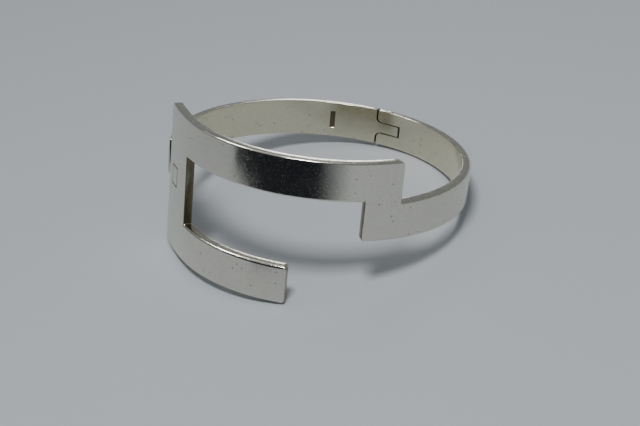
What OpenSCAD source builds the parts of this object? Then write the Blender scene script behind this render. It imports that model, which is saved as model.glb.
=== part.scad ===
// Hinged silver bangle bracelet: a stepped open front on a narrow band.
// The front plate carries two arms with an open gap between them. The upper arm
// steps down into the band, which runs round to a pinned hinge at the back. The
// back band swings on that hinge and latches in a catch behind the plate.
// Millimetres. +Z is up from the surface that the bangle lies on, and the ring
// leans back until the band touches that surface. The origin is under its middle.

/* [Ring] */
// Outer radius of the ring
outer_r = 31; // [27:0.5:38]
// Thickness of the silver strip
strip_t = 1.9; // [1.7:0.1:2.4]
// Width of the arms, the step and the band
strip_w = 8; // [6.5:0.5:9.5]

/* [Front] */
// Height of the front plate, and so of the whole front
plate_h = 30.8; // [26:0.2:38]
// Length of the plate round the ring
plate_w = 11.6; // [10:0.2:15]
// Outer radius that the plate is bent to, which is flatter than the ring
plate_r = 60; // [50:5:80]
// Length of the lower arm, from the plate to its free end
lower_arm_l = 28.4; // [18:0.2:34]
// Length of the upper arm, from the plate to the end of the step
upper_arm_l = 50.3; // [40:0.2:56]
// Length round the ring of the block that steps down to the band
step_w = 7.8; // [6:0.2:10]
// How far the top of the band lies below the underside of the upper arm
band_drop = 0.45; // [0:0.05:1]

/* [Hinge] */
// Where the hinge stands round the ring, in degrees
hinge_at = 106.9; // [95:0.1:118]
// Diameter of the hinge pin
pin_d = 1; // [0.8:0.05:1.1]
// Diameter of the pin's riveted ends
rivet_d = 1.4; // [1.2:0.05:1.5]
// Depth of each riveted end
rivet_h = 0.3; // [0.2:0.05:0.5]
// Running clearance round the pin
pin_gap = 0.04; // [0.02:0.01:0.08]
// Width of the back band's knuckle
knuckle_w = 2.3; // [1.8:0.1:3]
// Length of the knuckle past the pin
knuckle_l = 3; // [2.6:0.1:3.6]
// Length of the fork's two ears past the pin
ear_l = 2.75; // [2.4:0.05:3.2]
// Corner radius of the ears beside the knuckle
ear_round = 1; // [0.6:0.1:1.2]
// Gap along the ring at the ends of the ears and of the knuckle
hinge_gap = 0.3; // [0.25:0.05:0.45]
// Gap above and below the knuckle
knuckle_gap = 0.15; // [0.1:0.01:0.25]

/* [Clasp] */
// Seam between the back band and the plate
seam = 0.25; // [0.2:0.05:0.35]
// How far the end of the back band stands proud of the plate
band_proud = 0.4; // [0:0.1:0.5]
// How far the middle of the catch lies below the middle of the band
catch_drop = 2.2; // [0:0.1:2.6]
// Length of the window round the ring
window_l = 3.3; // [2.8:0.1:3.6]
// Height of the window
window_h = 4.2; // [3.8:0.1:5]
// Distance from the plate's edge to the middle of the window
window_in = 4.8; // [4.2:0.1:5.4]
// Thickness of the button's face
button_t = 0.6; // [0.5:0.05:0.8]
// Gap round the button in its window
button_gap = 0.1; // [0.06:0.01:0.15]
// How far the button is pressed
press = 0.45; // [0.45:0.05:0.7]
// How far outside the middle of the strip the tongue enters the plate
tongue_rise = 0.15; // [0:0.05:0.2]
// Thickness of the catch tongue
tongue_t = 0.5; // [0.4:0.05:0.6]
// Width of the catch tongue
tongue_w = 2.4; // [2:0.1:2.6]
// Length of the tongue's root, let into the back band
root_l = 3; // [2:0.2:4]
// Height of the tooth at the tongue's tip
tooth_h = 0.35; // [0.25:0.05:0.4]
// Length of that tooth
tooth_l = 0.5; // [0.4:0.05:0.6]
// Clearance round the tongue in its channel
tongue_gap = 0.12; // [0.08:0.01:0.15]
// Thickness of the yoke's crossbar
yoke_t = 0.3; // [0.25:0.05:0.5]
// Length of the crossbar along the tongue
bar_l = 0.4; // [0.3:0.05:0.45]
// Wall of the catch box and of its cover
box_t = 0.25; // [0.2:0.05:0.5]
// Clearance that is kept inside the catch box
box_gap = 0.06; // [0.05:0.01:0.1]
// How far the catch box stands past the window above and below
box_side = 0.2; // [0.1:0.05:0.3]
// Thickness of the spring's leaf
leaf_t = 0.12; // [0.1:0.01:0.2]
// Width of the spring's leaf
leaf_w = 2.2; // [1.5:0.1:2.6]
// Gap between the leaf's bend and the end of the window
leaf_play = 0.2; // [0.15:0.05:0.3]

/* [Maker's panel] */
// Where the blank recessed panel stands round the ring, in degrees
panel_at = 132; // [120:0.5:160]
// Length of the panel round the ring
panel_l = 1.2; // [0.8:0.1:2]
// Height of the panel
panel_h = 4; // [2:0.1:5]
// Depth of the panel
panel_d = 0.15; // [0.1:0.05:0.3]

/* [Hidden] */
$fn = 360;
inner_r = outer_r - strip_t;
mid_r = outer_r - strip_t / 2;
top = plate_h / 2;
arm_bottom = top - strip_w;
band_top = arm_bottom - band_drop;
band_bottom = band_top - strip_w;
band_mid = (band_top + band_bottom) / 2;
catch_mid = band_mid - catch_drop;
// The angle that a length takes up on a circle, and on the ring.
function turn(l, r) = l / r * 180 / PI;
function round_ring(l) = turn(l, outer_r);
function way(angle) = [cos(angle), sin(angle)];
// The bangle lies on the inner corners of its bottom edge, at the plate and at the lower
// arm's end, and on the back of the band. Those two corners lie equally far forward.
plate_turn = turn(plate_w, plate_r);
plate_inner_r = plate_r - strip_t;
lower_turn = round_ring(lower_arm_l);
forward_sin = inner_r * cos(lower_turn) + plate_r - outer_r - plate_inner_r * cos(plate_turn);
forward_cos = inner_r * sin(lower_turn) + plate_inner_r * sin(plate_turn);
plate_to = atan2(-forward_cos, forward_sin) + 360;
plate_from = plate_to - plate_turn;
plate_centre = (outer_r - plate_r) * way(plate_to);
lower_end = plate_to + lower_turn;
step_to = plate_to + round_ring(upper_arm_l);
step_from = step_to - round_ring(step_w);
rest_lean = atan((band_bottom + top) / (outer_r - inner_r * sin(lower_end)));
rest_lift = outer_r * sin(rest_lean) - band_bottom * cos(rest_lean);
rest_shift = (top - band_top) * sin(rest_lean) / 2;
// The knuckle's slot in the fork ends this far behind the pin.
slot_l = knuckle_l + hinge_gap + 0.05;
slot_w = knuckle_w + 2 * knuckle_gap;
shoulder = ear_l + hinge_gap;
// The back band's own circle touches the ring at the hinge and ends at the plate's edge.
edge_xy = plate_centre + (plate_r - strip_t / 2) * way(plate_from);
band_end_xy = edge_xy + band_proud * way(plate_from);
back_grow = (norm(band_end_xy) ^ 2 - mid_r ^ 2) / (2 * (mid_r - band_end_xy * way(hinge_at)));
back_centre = -back_grow * way(hinge_at);
back_outer_r = outer_r + back_grow;
back_inner_r = inner_r + back_grow;
back_to = atan2(band_end_xy.y - back_centre.y, band_end_xy.x - back_centre.x) + 360;
// The tongue follows a circle round the hinge pin, so that it draws straight out.
hinge_xy = mid_r * way(hinge_at);
mouth_xy = edge_xy + tongue_rise * way(plate_from);
reach = norm(mouth_xy - hinge_xy);
mouth_dir = atan2(mouth_xy.y - hinge_xy.y, mouth_xy.x - hinge_xy.x) + 360;
function round_pin(l) = turn(l, reach);
root_r = mid_r + back_grow + tongue_rise - band_proud;
// Seen along the ring, the tongue slants inwards at this angle.
slant = mouth_dir - plate_from;
// Height of the tongue's underside, outwards from the middle of the strip, this far in.
function under_tongue(l) = tongue_rise - l * tan(slant) - tongue_t / 2 / cos(slant);
bar_from = window_in - window_l / 2 + button_gap;
bar_end = bar_from + bar_l;
// The tooth stands just past the crossbar, square to the tongue.
tooth_from = (bar_end + tongue_gap + (tongue_t / 2 + tooth_h) * sin(slant)) / cos(slant);
tongue_l = tooth_from + tooth_l;
bar_top = under_tongue(bar_end) - box_gap;
bar_bottom = bar_top - yoke_t;
floor_top = bar_bottom - press - box_gap;
// The box runs from just past the plate's edge to just past the window.
box_from = 0.3;
box_to = window_in + window_l / 2 + button_gap;
box_h = window_h + 2 * box_side;
face_h = window_h - 2 * button_gap;
face_l = window_l - 2 * button_gap;
face_bottom = strip_t / 2 - button_t;
leg_in = tongue_w / 2 + 2 * tongue_gap;
eps = 0.01;

// A stretch of a ring of square section, from one angle and height to another.
module stretch(from, to, low, high, r0 = inner_r, r1 = outer_r)
    rotate_extrude(angle = to - from, start = from)
        translate([r0, low])
            square([r1 - r0, high - low]);

// Stands what it is given on the surface that the bangle lies on.
module resting()
    translate([0, rest_shift, rest_lift])
        rotate([-rest_lean, 0, 0])
            children();

// A place on the ring: X points outwards, Y on round the ring, Z along its axis.
module at(angle, height = band_mid, r = mid_r)
    rotate([0, 0, angle])
        translate([r, 0, height])
            children();

// A place on the plate, this far in from its edge, with its axes as above.
module on_plate(inset, height)
    translate(plate_centre)
        rotate([0, 0, plate_from + turn(inset, plate_r)])
            translate([plate_r - strip_t / 2, 0, height])
                children();

// A block in such a place, from one corner to the opposite one.
module block(low, high)
    translate(low)
        cube(high - low);

// The pin's own shape, with a clearance round it for the bores.
module pin_shape(gap, ends) {
    half = strip_w / 2;
    translate([0, 0, -half - ends])
        cylinder(r = pin_d / 2 + gap, h = strip_w + 2 * ends);
    for (side = [0, 1])
        mirror([0, 0, side])
            translate([0, 0, half - rivet_h])
                cylinder(r1 = pin_d / 2 + gap, r2 = rivet_d / 2 + gap, h = rivet_h);
}

module front_piece()
    color("#c9c7c0")
    resting()
    difference() {
        union() {
            translate(plate_centre)
                stretch(plate_from, plate_to, -top, top, plate_inner_r, plate_r);
            stretch(plate_to, step_to, arm_bottom, top);
            stretch(plate_to, lower_end, -top, strip_w - top);
            stretch(step_from, step_to, band_bottom, top);
            stretch(step_to - 1, 360 + hinge_at + 12, band_bottom, band_top);
            // Bridges inside the metal, so that both arms grow out of the plate at any size.
            for (low = [-top, arm_bottom])
                stretch(plate_to - 1, plate_to + 1, low + 1, low + strip_w - 1,
                        inner_r + 0.4, outer_r - 0.4);
        }
        fork_cuts();
        catch_cuts();
    }

// The cuts that leave the hinge's fork at the end of the band.
module fork_cuts()
    at(hinge_at) {
        block([-4, ear_l, -strip_w], [3, 12, strip_w]);
        block([-4, -slot_l, -slot_w / 2], [3, 12, slot_w / 2]);
        for (side = [0, 1])
            mirror([0, 0, side])
                difference() {
                    block([-4, ear_l - ear_round, 0], [3, 12, slot_w / 2 + ear_round]);
                    translate([-5, ear_l - ear_round, slot_w / 2 + ear_round])
                        rotate([0, 90, 0])
                            cylinder(r = ear_round, h = 9, $fn = 48);
                }
        pin_shape(0, 1);
    }

// The window, and the channel that the tongue is drawn through.
module catch_cuts() {
    on_plate(window_in, catch_mid)
        block([-strip_t, -window_l / 2, -window_h / 2], [strip_t, window_l / 2, window_h / 2]);
    translate([hinge_xy.x, hinge_xy.y, catch_mid])
        stretch(mouth_dir - round_pin(2), mouth_dir + round_pin(tongue_l + 0.4),
                -tongue_w / 2 - tongue_gap, tongue_w / 2 + tongue_gap,
                reach - tongue_t / 2 - tooth_h - tongue_gap, reach + tongue_t / 2 + tongue_gap);
}

module hinge_pin()
    color("#b5b3ad")
    resting()
    at(hinge_at)
        pin_shape(0, 0);

// Walls soldered behind the plate: two sides and the far end.
module catch_box()
    color("#bdbab2")
    resting()
    intersection() {
        on_plate(window_in, catch_mid)
            difference() {
                block([floor_top, box_from - window_in, -box_h / 2 - box_t],
                      [0, box_to - window_in + box_t, box_h / 2 + box_t]);
                block([floor_top - 1, -window_in - 1, -box_h / 2],
                      [1, box_to - window_in, box_h / 2]);
            }
        translate(plate_centre)
            cylinder(r = plate_inner_r, h = 200, center = true);
    }

module catch_cover()
    color("#c4c1b8")
    resting()
    on_plate(window_in, catch_mid)
        block([floor_top - box_t, box_from - window_in, -box_h / 2 - box_t],
              [floor_top, box_to - window_in + box_t, box_h / 2 + box_t]);

// A bent leaf between the cover and the button.
module button_spring()
    color("#8f8d88")
    resting()
    on_plate(window_in, catch_mid)
        translate([0, 0, -leaf_w / 2])
            linear_extrude(leaf_w)
                leaf_outline();

module leaf_outline() {
    foot = box_to - window_in - leaf_play;
    tip = tongue_l * cos(slant) - window_in + 0.3;
    rise = face_bottom - floor_top;
    polygon([[floor_top, tip + 0.2], [floor_top + leaf_t, tip + 0.2],
             [floor_top + leaf_t, foot - 0.3], [floor_top + 0.5 * rise, foot - leaf_t],
             [floor_top + rise - leaf_t, tip], [floor_top + rise, tip],
             [floor_top + 0.5 * rise, foot], [floor_top, foot]]);
}

module back_band()
    color("#c9c7c0")
    resting()
    difference() {
        intersection() {
            translate(back_centre)
                stretch(hinge_at - 9, back_to - turn(seam, back_outer_r), band_bottom, band_top,
                        back_inner_r, back_outer_r);
            back_outline();
        }
        at(hinge_at)
            pin_shape(pin_gap, 1);
        panel_cut();
        tongue_root(1);
    }

// What the back band's outline takes in: all past its shoulders, the knuckle between the
// ears, and the fillets that lead into it.
module back_outline()
    union() {
        at(hinge_at) {
            block([-70, shoulder, -strip_w], [5, 80, strip_w]);
            block([-4, -knuckle_l, -knuckle_w / 2], [3, shoulder + eps, knuckle_w / 2]);
            for (side = [0, 1])
                mirror([0, 0, side])
                    difference() {
                        block([-4, ear_l - ear_round, 0],
                              [3, shoulder + eps, slot_w / 2 + ear_round]);
                        translate([-5, ear_l - ear_round, slot_w / 2 + ear_round])
                            rotate([0, 90, 0])
                                cylinder(r = ear_round + hinge_gap, h = 9, $fn = 48);
                    }
        }
    }

// The recess of the blank panel, in the band's inner face.
module panel_cut()
    translate(back_centre)
    at(panel_at, band_mid, back_outer_r - strip_t / 2)
        block([-strip_t, -panel_l / 2, -panel_h / 2],
              [-strip_t / 2 + panel_d, panel_l / 2, panel_h / 2]);

// The tongue's root, and the slot for it in the end of the back band.
module tongue_root(past)
    translate(back_centre)
        stretch(back_to - turn(root_l, back_outer_r), back_to + past,
                catch_mid - tongue_w / 2, catch_mid + tongue_w / 2,
                root_r - tongue_t / 2, root_r + tongue_t / 2);

module catch_tongue()
    color("#b5b3ad")
    resting()
    union() {
        tongue_root(0);
        translate([hinge_xy.x, hinge_xy.y, catch_mid]) {
            stretch(mouth_dir - round_pin(0.2), mouth_dir + round_pin(tongue_l),
                    -tongue_w / 2, tongue_w / 2, reach - tongue_t / 2, reach + tongue_t / 2);
            stretch(mouth_dir + round_pin(tooth_from), mouth_dir + round_pin(tongue_l),
                    -tongue_w / 2, tongue_w / 2,
                    reach - tongue_t / 2 - tooth_h, reach - tongue_t / 2 + eps);
        }
    }

// The part of the button that shows, flush in the window.
module button_face()
    color("#c9c7c0")
    resting()
    intersection() {
        on_plate(window_in, catch_mid)
            block([face_bottom, -face_l / 2, -face_h / 2], [strip_t, face_l / 2, face_h / 2]);
        translate(plate_centre)
            cylinder(r = plate_r, h = 200, center = true);
    }

// Two legs and a crossbar that reach round the tongue and hold its tooth.
module button_yoke()
    color("#b5b3ad")
    resting()
    on_plate(window_in, catch_mid) {
        near = bar_from - window_in;
        far = bar_end - window_in;
        difference() {
            block([bar_bottom, near, -face_h / 2], [face_bottom, far, face_h / 2]);
            block([bar_top, near - 1, -leg_in], [face_bottom + 1, far + 1, leg_in]);
        }
    }

front_piece();
hinge_pin();
catch_box();
catch_cover();
button_spring();
back_band();
catch_tongue();
button_face();
button_yoke();
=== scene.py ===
"""Looks of a hinged silver bangle bracelet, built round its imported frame.

The bangle is made the way a silversmith makes it. Each piece starts as a flat blank with
rounded edges, and a Geometry Nodes tree bends the blank round a mandrel. The ring leans
back on the surface that it lies on. Lengths are millimetres until the last step.
"""

import logging
import math
from collections.abc import Callable
from dataclasses import dataclass, field
from enum import Enum

import bpy
import numpy as np
from mathutils import Matrix, Vector
from mathutils.geometry import delaunay_2d_cdt


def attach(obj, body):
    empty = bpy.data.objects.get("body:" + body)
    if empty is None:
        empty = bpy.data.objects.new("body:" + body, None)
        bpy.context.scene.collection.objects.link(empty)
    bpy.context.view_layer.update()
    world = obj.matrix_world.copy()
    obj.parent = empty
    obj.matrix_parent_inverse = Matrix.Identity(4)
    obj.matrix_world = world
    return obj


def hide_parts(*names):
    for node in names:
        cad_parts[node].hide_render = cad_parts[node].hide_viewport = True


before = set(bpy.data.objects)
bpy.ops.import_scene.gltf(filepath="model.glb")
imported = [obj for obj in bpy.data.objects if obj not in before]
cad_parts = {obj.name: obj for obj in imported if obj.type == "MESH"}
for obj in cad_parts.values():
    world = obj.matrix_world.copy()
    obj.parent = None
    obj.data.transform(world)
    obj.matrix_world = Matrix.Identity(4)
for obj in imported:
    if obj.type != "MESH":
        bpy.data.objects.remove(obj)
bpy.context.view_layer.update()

MM = 0.001
# A narrow flat strip, in millimetres, that keeps a rounded edge from bending the face beside it.
SUPPORT = 0.04
# The most of a blank's thickness that the rounding under and over its edge may take.
UNDER_SHARE, OVER_SHARE = 0.35, 0.6
# The least that is left of an arc, and the least room between two arcs, in millimetres.
LEAST_ARC, LEAST_ROOM = 0.004, 0.01
# The room that an edge straight across a blank keeps from its corners, in millimetres.
CUT_ROOM = 0.1
# Places nearer than the first are one place, and places further than the second are two.
SAME, APART = 1e-5, 1e-4
# How far the wall of a sunk panel leans inwards, in millimetres.
WALL_LEAN = 0.03
LOG = logging.getLogger("bangle")
Point = tuple[float, float]
Pair = tuple[float, float]
Spot = tuple[float, float, float]
Face = tuple[int, ...]


class Film(Enum):
    """How much tarnish a surface keeps, from rubbed clean to never reached by a cloth."""

    WORN = 0.0
    CUT_EDGE = 0.12
    WRIST_SIDE = 0.5
    HIDDEN = 1.0
    SEAM = 1.6


# --------------------------------------------------------------------------- sizes


def way(angle: float) -> Vector:
    """A step of length 1 at an angle in degrees."""
    return Vector((math.cos(math.radians(angle)), math.sin(math.radians(angle))))


def span(middle: float, length: float) -> Point:
    """The two ends of a length, from its middle."""
    return middle - length / 2, middle + length / 2


@dataclass
class RingPlan:
    """The driving sizes of the bangle, in millimetres and degrees, and what follows from them."""

    outer_r: float = 31.0
    strip_t: float = 1.9
    strip_w: float = 8.0
    plate_h: float = 30.8
    plate_w: float = 11.6
    lower_arm_l: float = 28.4
    upper_arm_l: float = 50.3
    step_w: float = 7.8
    band_drop: float = 0.45
    plate_r: float = 60.0
    hinge_at: float = 106.9
    seam: float = 0.25
    band_proud: float = 0.4

    def __post_init__(self) -> None:
        """Works out what follows from the driving sizes."""
        self.inner_r = self.outer_r - self.strip_t
        self.mid_r = self.outer_r - self.strip_t / 2
        # Heights over the middle of the plate: the upper arm, the lower arm and the band.
        self.top = self.plate_h / 2
        self.arm_bottom = self.top - self.strip_w
        self.lower_arm_top = self.strip_w - self.top
        self.band_top = self.arm_bottom - self.band_drop
        self.band_bottom = self.band_top - self.strip_w
        self.band_mid = (self.band_top + self.band_bottom) / 2
        # The bangle lies on the inner corners of the plate and of the lower arm's end, so the
        # plate ends, and its arms begin, where the two corners lie equally far forward.
        plate, arm = self.plate_w / self.plate_r, self.lower_arm_l / self.outer_r
        plate_inner = self.plate_r - self.strip_t
        forward_sin = (self.inner_r * math.cos(arm) + self.plate_r - self.outer_r
                       - plate_inner * math.cos(plate))
        forward_cos = self.inner_r * math.sin(arm) + plate_inner * math.sin(plate)
        self.plate_to = math.degrees(math.atan2(-forward_cos, forward_sin)) + 360
        self.plate_from = self.plate_to - math.degrees(plate)
        # The plate has a flatter curve, and the back band ends a little proud of it.
        self.plate_centre = way(self.plate_to) * (self.outer_r - self.plate_r)
        reach = self.plate_r - self.strip_t / 2 + self.band_proud
        self.band_end = self.plate_centre + way(self.plate_from) * reach
        # The back band's circle touches the ring at the hinge and is larger by back_grow.
        end, out = self.band_end, way(self.hinge_at)
        self.back_grow = (end.length_squared - self.mid_r ** 2) / (2 * (self.mid_r - end.dot(out)))
        self.back_centre = out * -self.back_grow
        end = self.band_end - self.back_centre
        self.back_to = math.degrees(math.atan2(end.y, end.x)) + 360
        # Angles of the lower arm's free end and of both sides of the step.
        self.lower_end = self.plate_to + math.degrees(self.lower_arm_l / self.outer_r)
        self.step_to = self.plate_to + math.degrees(self.upper_arm_l / self.outer_r)
        self.step_from = self.step_to - math.degrees(self.step_w / self.outer_r)
        # How far the ring leans back, in degrees, when it lies on a level surface.
        rise = self.band_bottom + self.top
        run = self.outer_r - self.inner_r * math.sin(math.radians(self.lower_end))
        self.lean = math.degrees(math.atan(rise / run))

    def along(self, angle: float) -> float:
        """How far along the flat blank an angle round the ring lies."""
        return math.radians(angle) * self.outer_r

    def resting(self) -> Matrix:
        """Places what is drawn about the ring's own axis on the level surface."""
        lean = math.radians(self.lean)
        lift = self.outer_r * math.sin(lean) - self.band_bottom * math.cos(lean)
        shift = (self.top - self.band_top) * math.sin(lean) / 2
        return Matrix.Translation((0, shift, lift)) @ Matrix.Rotation(-lean, 4, "X")

    def at(self, angle: float, height: float) -> Matrix:
        """A place on the ring: X points outwards, Y on round the ring, Z along its axis."""
        outwards = Matrix.Translation((self.mid_r, 0, height))
        return Matrix.Rotation(math.radians(angle), 4, "Z") @ outwards

    def on_plate(self, inset: float, height: float) -> Matrix:
        """A place on the plate, this far in from its edge, with its axes as above."""
        centre = Matrix.Translation((self.plate_centre.x, self.plate_centre.y, 0))
        turn = Matrix.Rotation(math.radians(self.plate_from) + inset / self.plate_r, 4, "Z")
        return centre @ turn @ Matrix.Translation((self.plate_r - self.strip_t / 2, 0, height))


@dataclass
class HingePlan:
    """Sizes of the hinge, in millimetres."""

    pin_d: float = 1.0
    rivet_d: float = 1.4
    rivet_h: float = 0.3
    rivet_dome: float = 0.07
    rivet_flat_r: float = 0.02
    rivet_rim: float = 0.02
    knuckle_w: float = 2.3
    knuckle_l: float = 3.0
    knuckle_round: float = 0.32
    ear_l: float = 2.75
    ear_round: float = 1.0
    gap: float = 0.3
    knuckle_gap: float = 0.15
    slot_play: float = 0.05

    def __post_init__(self) -> None:
        """Works out how far the slot and the full width of the back band lie from the pin."""
        self.slot_l = self.knuckle_l + self.gap + self.slot_play
        self.slot_w = self.knuckle_w + 2 * self.knuckle_gap
        self.shoulder = self.ear_l + self.gap


@dataclass(frozen=True)
class ClaspPlan:
    """Sizes of the catch, in millimetres."""

    drop: float = 2.2
    window_l: float = 3.3
    window_h: float = 4.2
    window_in: float = 4.8
    window_round: float = 0.14
    button_t: float = 0.6
    button_gap: float = 0.1
    press: float = 0.45
    tongue_rise: float = 0.15
    tongue_t: float = 0.5
    tongue_w: float = 2.4
    tongue_root: float = 3.0
    tooth_h: float = 0.35
    tooth_l: float = 0.5
    tongue_gap: float = 0.12
    yoke_t: float = 0.3
    bar_l: float = 0.4
    box_t: float = 0.25
    box_gap: float = 0.06
    box_side: float = 0.2
    box_from: float = 0.3
    leaf_t: float = 0.12
    leaf_w: float = 2.2
    leaf_play: float = 0.2


class CatchGeometry:
    """Where the catch's pieces lie, worked out from the plans as they fit together."""

    def __init__(self, ring: RingPlan, c: ClaspPlan) -> None:
        """Works out each place.

        Args:
            ring: Sizes of the ring.
            c: Sizes of the catch.
        """
        # How high up the ring's axis the middle of the catch is, and where the pin stands.
        self.height = ring.band_mid - c.drop
        self.hinge_xy = way(ring.hinge_at) * ring.mid_r
        # From the hinge pin to where the tongue enters the plate, and how steeply, in
        # radians, the tongue slants inwards there.
        rise = c.tongue_rise - ring.band_proud
        self.mouth = ring.band_end + way(ring.plate_from) * rise - self.hinge_xy
        along = math.atan2(self.mouth.y, self.mouth.x) + math.tau
        self.slant = along - math.radians(ring.plate_from)
        # How far along the flat blank the middle of the window lies.
        self.window_along = ring.along(ring.plate_to) - ring.plate_w + c.window_in
        # How far in from the plate's edge the crossbar's two sides are, and then the tooth.
        self.bar_from = c.window_in - c.window_l / 2 + c.button_gap
        self.bar_end = self.bar_from + c.bar_l
        dip = (c.tongue_t / 2 + c.tooth_h) * math.sin(self.slant)
        self.tooth_from = (self.bar_end + c.tongue_gap + dip) / math.cos(self.slant)
        self.tongue_l = self.tooth_from + c.tooth_l
        # Heights over the middle of the strip: the crossbar is under the tongue, the cover's
        # inside is under the crossbar, and the button's face is flush with the plate.
        under_tongue = (c.tongue_rise - self.bar_end * math.tan(self.slant)
                        - c.tongue_t / 2 / math.cos(self.slant))
        self.bar_top = under_tongue - c.box_gap
        self.bar_bottom = self.bar_top - c.yoke_t
        self.floor_top = self.bar_bottom - c.press - c.box_gap
        self.face_bottom = ring.strip_t / 2 - c.button_t
        # The button's face in its window, and the far end of the box's inside.
        self.face_l = c.window_l - 2 * c.button_gap
        self.face_h = c.window_h - 2 * c.button_gap
        self.box_to = c.window_in + c.window_l / 2 + c.button_gap


RING = RingPlan()
HINGE = HingePlan()
CLASP = ClaspPlan()
CATCH = CatchGeometry(RING, CLASP)


# --------------------------------------------------------------------------- blanks


@dataclass(frozen=True)
class Corner:
    """A corner of an outline, with its radius and the edge rounding of the side after it."""

    x: float
    y: float
    radius: float = 0.1
    edge: float | None = None
    film: Film = Film.CUT_EDGE


def rectangle(along: Point, across: Point, radius: float, edge: float | None = None,
              film: Film = Film.CUT_EDGE, hole: bool = False) -> list[Corner]:
    """The corners of a rectangle.

    Args:
        along: Its ends along X.
        across: Its ends along Y.
        radius: The radius of its corners.
        edge: The edge rounding of its sides.
        film: The tarnish that its sides keep.
        hole: Whether it is cut or sunk into the metal, and so runs clockwise.

    Returns:
        The corners in order, with the metal on the left hand.
    """
    (left, right), (low, high) = along, across
    spots = [(left, low), (right, low), (right, high), (left, high)]
    if hole:
        spots = [spots[0], *reversed(spots[1:])]
    return [Corner(x, y, radius, edge, film) for x, y in spots]


@dataclass(frozen=True)
class RimPoint:
    """A point on an outline, with the direction out of the metal and its edge rounding."""

    x: float
    y: float
    out_x: float
    out_y: float
    edge: float
    film: float

    def inset(self, depth_of: Callable[[float], float]) -> Point:
        """The point at the depth into the metal that goes with its edge rounding."""
        depth = depth_of(self.edge)
        return self.x - self.out_x * depth, self.y - self.out_y * depth


@dataclass(frozen=True)
class SquarePoint(RimPoint):
    """A point on the arc of a square outer corner, where two sides with their own rounding meet."""

    corner: Vector
    normals: tuple[Vector, Vector]
    edges: tuple[float, float]
    radius: float
    share: float

    def inset(self, depth_of: Callable[[float], float]) -> Point:
        """The point at that depth: on an arc, or near the mitre where the arc has run out."""
        before, after = depth_of(self.edges[0]), depth_of(self.edges[1])
        left = max(self.radius - depth_of(self.edge), LEAST_ARC)
        turn = math.pi / 2 * self.share
        spot = (
            self.corner
            - self.normals[0] * (max(before, self.radius) - left * math.cos(turn))
            - self.normals[1] * (max(after, self.radius) - left * math.sin(turn))
        )
        return spot.x, spot.y


def rim(corners: list[Corner], edge: float, cuts: list[float], steps: int = 6) -> list[RimPoint]:
    """Turns the corners of an outline into points, with an arc at each corner.

    Args:
        corners: The corners in order, with the metal on the left hand.
        edge: The edge rounding of a side that names none.
        cuts: Places along X at which a long side takes a point.
        steps: How many pieces a corner's arc has.

    Returns:
        The points in order.
    """
    spots = [Vector((c.x, c.y)) for c in corners]
    edges = [edge if c.edge is None else c.edge for c in corners]
    films = [c.film.value for c in corners]
    ways = [(there - here).normalized() for here, there in zip(spots, spots[1:] + spots[:1])]
    arcs: list[list[RimPoint]] = []
    for i, corner in enumerate(corners):
        before, after = ways[i - 1], ways[i]
        turn = math.atan2(before.cross(after), before.dot(after))
        square = math.isclose(turn, math.pi / 2, abs_tol=1e-6)
        radius = corner.radius
        if turn > 0 and not square:
            radius = max(radius, max(edges[i - 1], edges[i]) + SUPPORT + LEAST_ROOM)
        start = spots[i] - before * (radius * math.tan(abs(turn) / 2))
        normal = Vector((before.y, -before.x))
        side = 1 if turn > 0 else -1
        centre = start - normal * radius * side
        arc = []
        for k in range(steps + 1):
            share = k / steps
            angle = math.atan2(normal.y, normal.x) + turn * share
            out = Vector((math.cos(angle), math.sin(angle)))
            spot = centre + out * radius * side
            blend = share * share * (3 - 2 * share)
            given = (spot.x, spot.y, out.x, out.y,
                     edges[i - 1] * (1 - blend) + edges[i] * blend,
                     films[i - 1] * (1 - blend) + films[i] * blend)
            if square:
                normals = (normal, Vector((after.y, -after.x)))
                arc.append(SquarePoint(*given, spots[i], normals, (edges[i - 1], edges[i]),
                                       radius, share))
            else:
                arc.append(RimPoint(*given))
        arcs.append(arc)
    points: list[RimPoint] = []
    for arc, after_arc in zip(arcs, arcs[1:] + arcs[:1]):
        points += arc
        first, last = arc[-1], after_arc[0]
        low, high = sorted((first.x, last.x))
        inner = [c for c in cuts if low + APART < c < high - APART]
        for cut in reversed(inner) if last.x < first.x else inner:
            share = (cut - first.x) / (last.x - first.x)
            points.append(RimPoint(cut, first.y + (last.y - first.y) * share,
                                   first.out_x, first.out_y, first.edge, first.film))
    return points


def filmed(name: str, spots: list, faces: list[Face], films: list[float]) -> bpy.types.Mesh:
    """A smooth mesh with its film of tarnish as an attribute.

    Args:
        name: The mesh's name.
        spots: Its points, in metres.
        faces: Its faces as numbers of points.
        films: The film at each point.

    Returns:
        The mesh.
    """
    mesh = bpy.data.meshes.new(name)
    mesh.from_pydata(spots, [], faces)
    mesh.attributes.new("film", "FLOAT", "POINT").data.foreach_set("value", films)
    mesh.polygons.foreach_set("use_smooth", [True] * len(mesh.polygons))
    return mesh


def walls(start: int, count: int, rows: int) -> list[Face]:
    """Faces round a closed outline whose points each have rows of their own.

    Args:
        start: The number of the first row of the first point.
        count: How many points the outline has.
        rows: How many rows each point has.

    Returns:
        Four-sided faces as numbers of points.
    """
    faces: list[Face] = []
    for i in range(count):
        here, there = start + i * rows, start + (i + 1) % count * rows
        faces += [(here + k, there + k, there + k + 1, here + k + 1) for k in range(rows - 1)]
    return faces


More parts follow.
